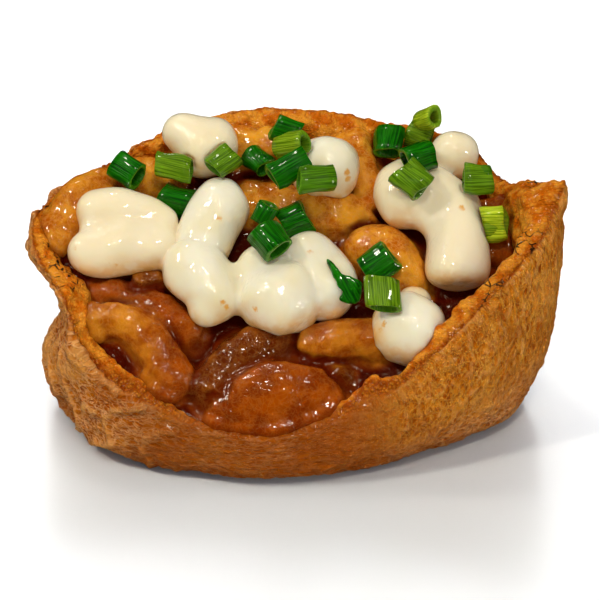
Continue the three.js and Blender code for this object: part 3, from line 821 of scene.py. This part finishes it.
ridges = sums(web, "MAXIMUM", cell_ridge, ramp(web, threads, 0.0, 0.05, 1.0, 0.0))
hollows = noise(web, wandered, sums(web, "MULTIPLY", given["Scale"], 1.3), 2.0, 0.5)
web.links.new(ridges, result["Ridges"])
web.links.new(ramp(web, hollows, 0.50, 0.38), result["Pits"])

# %% Tiny glints: a slow swell in the wet film, with beads and grain on it in patches
glints, given, result = new_group(
    "wet_ripple",
    [("Place", "Vector", None), ("Scale", "Float", 1.0), ("Grain", "Float", 0.5), ("Beads", "Float", 0.2)],
    [("Swell", "Float"), ("Height", "Float")],
)
slow = noise(glints, given["Place"], sums(glints, "MULTIPLY", given["Scale"], 0.35), 1.0, 0.35)
fine = noise(glints, given["Place"], given["Scale"], 1.0, 0.4)
beads = sums(glints, "MULTIPLY", ramp(glints, fine, 0.57, 0.72), given["Beads"])
grain = sums(glints, "MULTIPLY", fine, given["Grain"])
where_rough = ramp(glints, noise(glints, given["Place"], 0.2, 1.0), 0.37, 0.51)
fine = sums(glints, "MULTIPLY", sums(glints, "ADD", beads, grain), where_rough)
slow = sums(glints, "MULTIPLY", slow, 0.7)
glints.links.new(slow, result["Swell"])
glints.links.new(sums(glints, "ADD", slow, fine), result["Height"])

# %% [markdown]
# ## Tofu skin
#
# Fried tofu skin is tan where its ridges dried, a paler tan that is partly painted sheen, and deep
# brown-orange in its pits, where the simmering stock stayed. Its crests also get painted sheen and
# its hollows painted shade. Its fibres run along the wall at the front and left and up the wall at
# the right, so two webs are laid on the wall's own coordinates and mixed. The torn rim is brighter
# and more orange, with painted highlights on its crumbs and painted shade between them, and a few
# hair-thin threads on it are burnt black. The middle of the front wall gets painted shade under the
# lip. All of it is slightly see-through, so light bleeds under the surface, and its sheen is
# tinted amber by the oil.

# %% Tofu skin material
skin_material, tree, shader = new_material("simmered_tofu_skin")
even_place = in_mm(tree)
wall = stored(tree, "wall_place", "Vector")
along_place = scaled(tree, wall, (24, 24, 1.5))
up_place = scaled(tree, wall, (46, 46, 0.85))
skin_mask = stored(tree, "skin")
inside_mask = stored(tree, "inside")
upright_mask = stored(tree, "upright")
crest = stored(tree, "crest")
along_out = use_group(tree, web, Place=along_place, Scale=1.0, Wander=1.2)
up_out = use_group(tree, web, Place=up_place, Scale=1.0, Wander=1.2)
fine_out = use_group(tree, web, Place=even_place, Scale=1.9, Wander=1.0)
skin_ridges = node(tree, "Mix", {0: upright_mask, 2: along_out["Ridges"], 3: up_out["Ridges"]}).outputs[0]
skin_pits = node(tree, "Mix", {0: upright_mask, 2: along_out["Pits"], 3: up_out["Pits"]}).outputs[0]
patches = noise(tree, even_place, 0.12, 3.0)
browning = noise(tree, even_place, 0.45, 4.0, 0.6)

# %% Skin colour: ground, pits, ridges, painted sheen on crests and painted shade in hollows, darker and paler patches, and painted shade below the front lip
LIP_MIDDLE_X = -4.0
dark_ground = mixed(tree, upright_mask, paint(166, 80, 0), paint(190, 96, 0))
light_ground = mixed(tree, upright_mask, paint(196, 106, 4), paint(216, 128, 22))
skin_colour = mixed(tree, ramp(tree, browning, 0.4, 0.6), dark_ground, light_ground)
skin_colour = mixed(tree, sums(tree, "MULTIPLY", skin_pits, 0.75), skin_colour, paint(142, 56, 0))
# Painted shade: the skin's hollows, found by its crest measure, are darkened.
skin_colour = mixed(tree, ramp(tree, crest, 0.0, -0.6, 0.0, 0.6), skin_colour, paint(140, 56, 0))
# The ridges' pale tan is partly the dried skin's own colour and partly painted sheen.
ridge_colour = mixed(tree, upright_mask, paint(250, 188, 122), paint(238, 170, 66))
skin_colour = mixed(tree, sums(tree, "MULTIPLY", skin_ridges, 0.72), skin_colour, ridge_colour)
# Painted sheen: the skin's crests are lightened.
skin_colour = mixed(tree, ramp(tree, crest, 0.05, 0.6, 0.0, 0.5), skin_colour, paint(236, 168, 90))
skin_colour = mixed(tree, ramp(tree, patches, 0.5, 0.64, 0.0, 0.45), skin_colour, paint(164, 78, 0))
skin_colour = mixed(tree, ramp(tree, patches, 0.48, 0.38, 0.0, 0.3), skin_colour, paint(228, 156, 60))
place_parts = node(tree, "SeparateXYZ", {0: even_place}).outputs
# Painted shade: the middle of the front wall, under the overhang of the lip, is darkened.
off_middle = sums(tree, "ABSOLUTE", sums(tree, "SUBTRACT", place_parts["X"], LIP_MIDDLE_X))
in_front = ramp(tree, off_middle, 12.0, 26.0, 1.0, 0.0)
lip_overhang_shade = sums(tree, "MULTIPLY", in_front, ramp(tree, place_parts["Y"], -14.0, -20.0))
skin_colour = mixed(tree, sums(tree, "MULTIPLY", lip_overhang_shade, 0.75), skin_colour, paint(148, 66, 0))

# %% Rim colour: crumbs with painted highlights on their tops and painted shade in their gaps, painted shade in hollows, and the soaked inside
crumb = cells(tree, even_place, 1.7)
crumb_top = sums(tree, "MULTIPLY", ramp(tree, crumb, 0.1, 0.6, 1.0, 0.0), stored(tree, "rim"))
rim_colour = mixed(tree, ramp(tree, browning, 0.4, 0.6), paint(170, 72, 0), paint(206, 112, 4))
# Painted shade: the rim's hollows are darkened.
rim_colour = mixed(tree, ramp(tree, crest, 0.1, -0.7, 0.0, 0.6), rim_colour, paint(186, 80, 0))
mottling = ramp(tree, noise(tree, even_place, 0.9, 1.0), 0.45, 0.62, 0.0, 0.5)
rim_colour = mixed(tree, mottling, rim_colour, paint(150, 64, 0))
# Painted shade in the gaps between crumbs, then painted highlights on their tops.
rim_colour = mixed(tree, ramp(tree, crumb, 0.35, 0.62, 0.0, 0.6), rim_colour, paint(140, 54, 0))
rim_colour = mixed(tree, sums(tree, "MULTIPLY", crumb_top, 0.5), rim_colour, paint(238, 154, 52))
soaked_colour = mixed(tree, ramp(tree, browning, 0.4, 0.6), paint(204, 100, 0), paint(236, 150, 40))
rim_colour = mixed(tree, inside_mask, rim_colour, soaked_colour)
colour = mixed(tree, skin_mask, rim_colour, skin_colour)

# %% Burnt threads, relief and shine
thread_place = in_mm(tree, stretch=(0.8, 0.8, 1.0))
thread = ramp(tree, cells(tree, thread_place, 0.75, "DISTANCE_TO_EDGE"), 0.04, 0.09, 1.0, 0.0)
broken = ramp(tree, noise(tree, even_place, 0.8, 1.0), 0.47, 0.53)
thread = sums(tree, "MULTIPLY", sums(tree, "MULTIPLY", thread, broken), stored(tree, "charred"))
colour = mixed(tree, thread, colour, paint(34, 14, 6))

height = sums(tree, "MULTIPLY", skin_ridges, 0.4)
height = sums(tree, "ADD", height, sums(tree, "MULTIPLY", fine_out["Ridges"], 0.2))
height = sums(tree, "SUBTRACT", height, sums(tree, "MULTIPLY", skin_pits, 0.35))
height = sums(tree, "ADD", height, sums(tree, "MULTIPLY", crumb_top, 1.2))
height = sums(tree, "ADD", height, noise(tree, even_place, 1.1, 1.0, 0.4))
set_shader(
    tree, shader,
    Base_Color=colour,
    Roughness=0.3,
    Subsurface_Weight=0.2,
    Subsurface_Radius=(1.0, 0.45, 0.12),
    Subsurface_Scale=0.7 * MM,
    Specular_IOR_Level=0.2,
    Specular_Tint=(1.0, 0.7, 0.36, 1.0),
    Coat_Weight=ramp(tree, skin_mask, 0.0, 1.0, 0.2, 0.18),
    Coat_Roughness=0.08,
    Normal=bumped(tree, height, 0.35 * MM),
)

# %% [markdown]
# ## Glazed chicken
#
# The glaze is soy, sugar and fat boiled down: amber where it lies thin on the meat and almost
# black-red where it has pooled. The depth measured above drives that change. A clear coat with a
# rippled normal of its own gives the wet shine, and it thins out where the glaze is deep, so that
# the crevices stay dark.

# %% Glazed chicken material
glaze_material, tree, shader = new_material("soy_glaze_on_chicken")
even_place = in_mm(tree)
depth = stored(tree, "glaze_depth")
crest = stored(tree, "crest")
browning = noise(tree, even_place, 0.3, 3.0, 0.6)
fibres = use_group(tree, web, Place=even_place, Scale=1.2, Wander=1.4)
meat_colour = mixed(tree, ramp(tree, browning, 0.35, 0.65), paint(122, 42, 0), paint(158, 68, 0))
dark_share = sums(tree, "MULTIPLY", stored(tree, "dark_chunk"), 0.7)
meat_colour = mixed(tree, dark_share, meat_colour, paint(70, 18, 0))
thin_colour = mixed(tree, ramp(tree, browning, 0.35, 0.65), paint(180, 88, 0), paint(230, 154, 34))
meat_colour = mixed(tree, stored(tree, "thin_glaze"), meat_colour, thin_colour)
# Painted highlight: the filling's crests are lightened to amber.
meat_colour = mixed(tree, ramp(tree, crest, 0.2, 1.0, 0.0, 0.35), meat_colour, paint(210, 122, 14))
fibre_share = ramp(tree, stored(tree, "thin_glaze"), 0.3, 1.0, 0.1, 0.45)
fibre_share = sums(tree, "MULTIPLY", fibres["Ridges"], fibre_share)
meat_colour = mixed(tree, fibre_share, meat_colour, paint(228, 160, 74))
# Painted shade: the filling's hollows, and its join with the wall, are darkened.
meat_colour = mixed(tree, ramp(tree, crest, 0.0, -0.8, 0.0, 0.55), meat_colour, paint(98, 22, 0))
colour = mixed(tree, ramp(tree, depth, 0.0, 0.75), meat_colour, paint(98, 24, 0))
colour = mixed(tree, ramp(tree, depth, 0.55, 1.0), colour, paint(72, 8, 0))
ripple = use_group(tree, glints, Place=even_place, Scale=2.6, Grain=0.3, Beads=0.24)
height = sums(tree, "ADD", ripple["Swell"], sums(tree, "MULTIPLY", fibres["Ridges"], 0.1))
set_shader(
    tree, shader,
    Base_Color=colour,
    Roughness=0.2,
    Subsurface_Weight=0.3,
    Subsurface_Radius=(1.0, 0.35, 0.1),
    Subsurface_Scale=1.3 * MM,
    Specular_IOR_Level=0.1,
    Specular_Tint=(1.0, 0.72, 0.4, 1.0),
    Coat_Weight=ramp(tree, depth, 0.3, 0.9, 0.68, 0.15),
    Coat_Roughness=0.03,
    Coat_IOR=1.55,
    Normal=bumped(tree, height, 0.25 * MM),
)
tree.links.new(bumped(tree, ripple["Height"], 0.2 * MM), shader.inputs["Coat Normal"])

# %% [markdown]
# ## Mayonnaise
#
# Egg yolk and oil: cream-white, dense, with light spreading deep inside. It takes up a little
# glaze low down, close to the filling, and specks of browned glaze stick to it. Where its
# undersides face down near the filling, the same amber is painted there as shade and warm
# reflection. As on the chicken, only the clear coat has the fine ripple, which breaks each glint
# into small ones.

# %% Mayonnaise material
mayonnaise_material, tree, shader = new_material("mayonnaise")
even_place = in_mm(tree)
soak_and_shade_mask = stored(tree, "glaze_soak_and_shade")
yellow_mask = stored(tree, "yellow")
drift = noise(tree, even_place, 0.16, 2.0)
colour = mixed(tree, ramp(tree, drift, 0.35, 0.7), paint(236, 228, 202), paint(232, 220, 182))
colour = mixed(tree, sums(tree, "MULTIPLY", yellow_mask, 0.6), colour, paint(240, 220, 178))
stain_and_shade = noise(tree, even_place, 0.5, 2.0)
stain_and_shade = sums(tree, "MULTIPLY", soak_and_shade_mask, ramp(tree, stain_and_shade, 0.3, 0.6, 0.45, 1.0))
# The amber is the glaze taken up near the filling and, on the undersides, painted shade and warm
# reflection.
colour = mixed(tree, sums(tree, "MULTIPLY", stain_and_shade, 0.95), colour, paint(226, 164, 74))
speck_cells = cells(tree, even_place, 0.3)
speck_shape = sums(tree, "MULTIPLY", noise(tree, even_place, 2.6, 3.0), 0.22)
speck = ramp(tree, sums(tree, "SUBTRACT", speck_cells, speck_shape), -0.02, 0.09, 0.9, 0.0)
speck = sums(tree, "MULTIPLY", speck, ramp(tree, noise(tree, even_place, 0.17, 0.0), 0.5, 0.62))
colour = mixed(tree, speck, colour, paint(224, 158, 56))
ripple = use_group(tree, glints, Place=even_place, Scale=1.9, Grain=1.3, Beads=0.0)
set_shader(
    tree, shader,
    Base_Color=colour,
    Roughness=0.3,
    Subsurface_Weight=0.6,
    Subsurface_Radius=(1.0, 0.8, 0.45),
    Subsurface_Scale=2.5 * MM,
    Specular_IOR_Level=0.1,
    Coat_Weight=1.0,
    Coat_Roughness=0.03,
    Normal=bumped(tree, ripple["Swell"], 0.1 * MM),
)
tree.links.new(bumped(tree, ripple["Height"], 0.1 * MM), shader.inputs["Coat Normal"])

# %% [markdown]
# ## Scallion
#
# Ribs run along the leaf. The outside is deep green with a waxy shine, the hollow and the cut
# ends are paler, and rings from near the root are yellow-green. The pattern starts at another
# place for each ring, so that no two are alike.

# %% Scallion material
scallion_material, tree, shader = new_material("scallion_leaf")
leaf_place = stored(tree, "leaf_place", "Vector")
ribs_place = scaled(tree, leaf_place, (9.0, 9.0, 0.5))
ring_offset = node(tree, "CombineXYZ", {"Z": stored(tree, "cutting")}).outputs[0]
ribs_place = node(tree, "VectorMath", {0: ribs_place, 1: ring_offset}).outputs[0]
ribs = noise(tree, ribs_place, 1.0, 2.0)
tone = noise(tree, in_mm(tree), 0.4, 2.0)
colour = mixed(tree, ramp(tree, ribs, 0.35, 0.65), paint(0, 60, 0), paint(20, 112, 0))
colour = mixed(tree, ramp(tree, tone, 0.45, 0.7, 0.0, 0.5), colour, paint(28, 100, 2))
pale = mixed(tree, ramp(tree, ribs, 0.35, 0.65), paint(118, 148, 0), paint(190, 206, 40))
colour = mixed(tree, stored(tree, "pale"), colour, pale)
colour = mixed(tree, sums(tree, "MULTIPLY", stored(tree, "hollow"), 0.5), colour, paint(40, 96, 6))
colour = mixed(tree, sums(tree, "MULTIPLY", stored(tree, "cut_end"), 0.45), colour, paint(96, 146, 20))
set_shader(
    tree, shader,
    Base_Color=colour,
    Roughness=0.32,
    Subsurface_Weight=0.15,
    Subsurface_Radius=(0.4, 1.0, 0.1),
    Subsurface_Scale=0.6 * MM,
    Specular_IOR_Level=0.1,
    Coat_Weight=0.55,
    Coat_Roughness=0.05,
    Normal=bumped(tree, ribs, 0.12 * MM),
)

# %% [markdown]
# ## Floor
#
# A plain glossy board, just shiny enough to show a faint reflection of the food. Its paint is a
# pale and slightly cool grey, which evens out the warm keys. The last panel lights this board
# alone and brings it up to white. The board is hidden from glossy rays, as the tent is, so that it
# doesn't whiten the underside of the sauce.

# %% Lay the floor
FLOOR_SIDE = 4.0
bpy.ops.mesh.primitive_plane_add(size=FLOOR_SIDE)
floor = bpy.context.object
floor.name = "floor"
floor_material, tree, shader = new_material("white_board")
faint = noise(tree, in_mm(tree), 0.004, 1.0)
set_shader(
    tree, shader,
    Base_Color=mixed(tree, faint, (0.43, 0.445, 0.465, 1), (0.45, 0.465, 0.485, 1)),
    Roughness=0.24,
    Specular_IOR_Level=0.5,
)
floor.data.materials.append(floor_material)
floor.visible_glossy = False

# %% Hang the panel that only the floor sees, behind the food
BACKDROP_PLACE = (0, 0.90, 0.45)
BACKDROP_SIZE = (1.2, 0.8)
BACKDROP_POWER = 16.0
backdrop = light_panel("backdrop_panel", BACKDROP_PLACE, BACKDROP_SIZE, BACKDROP_POWER)
floor_only = bpy.data.collections.new("floor_only")
floor_only.objects.link(floor)
backdrop.light_linking.receiver_collection = floor_only

# %% [markdown]
# ## Dress the pieces
#
# Each piece gets its finish, rides with the food, and stands for the solids it was made from.

# %% Finishes and bodies, with a slot name listed beside each finish
DRESSED = [
    (pouch, skin_material, "tofu_skin", ["pouch"]),
    (filling, glaze_material, "glazed_chicken", ["filling_bed"] + CHUNKS),
    (mayonnaise, mayonnaise_material, "mayonnaise", KNOBS),
    (scallion, scallion_material, "scallion", RINGS),
    (torn_leaf, scallion_material, "scallion", ["scallion_22"]),
]
for piece, material, slot, nodes in DRESSED:
    piece.data.materials.clear()
    piece.data.materials.append(material)
    piece.vertex_groups.clear()
    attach(piece, "root")
    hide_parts(*nodes)
    print(piece.name, "triangles:", sum(len(face.vertices) - 2 for face in piece.data.polygons))
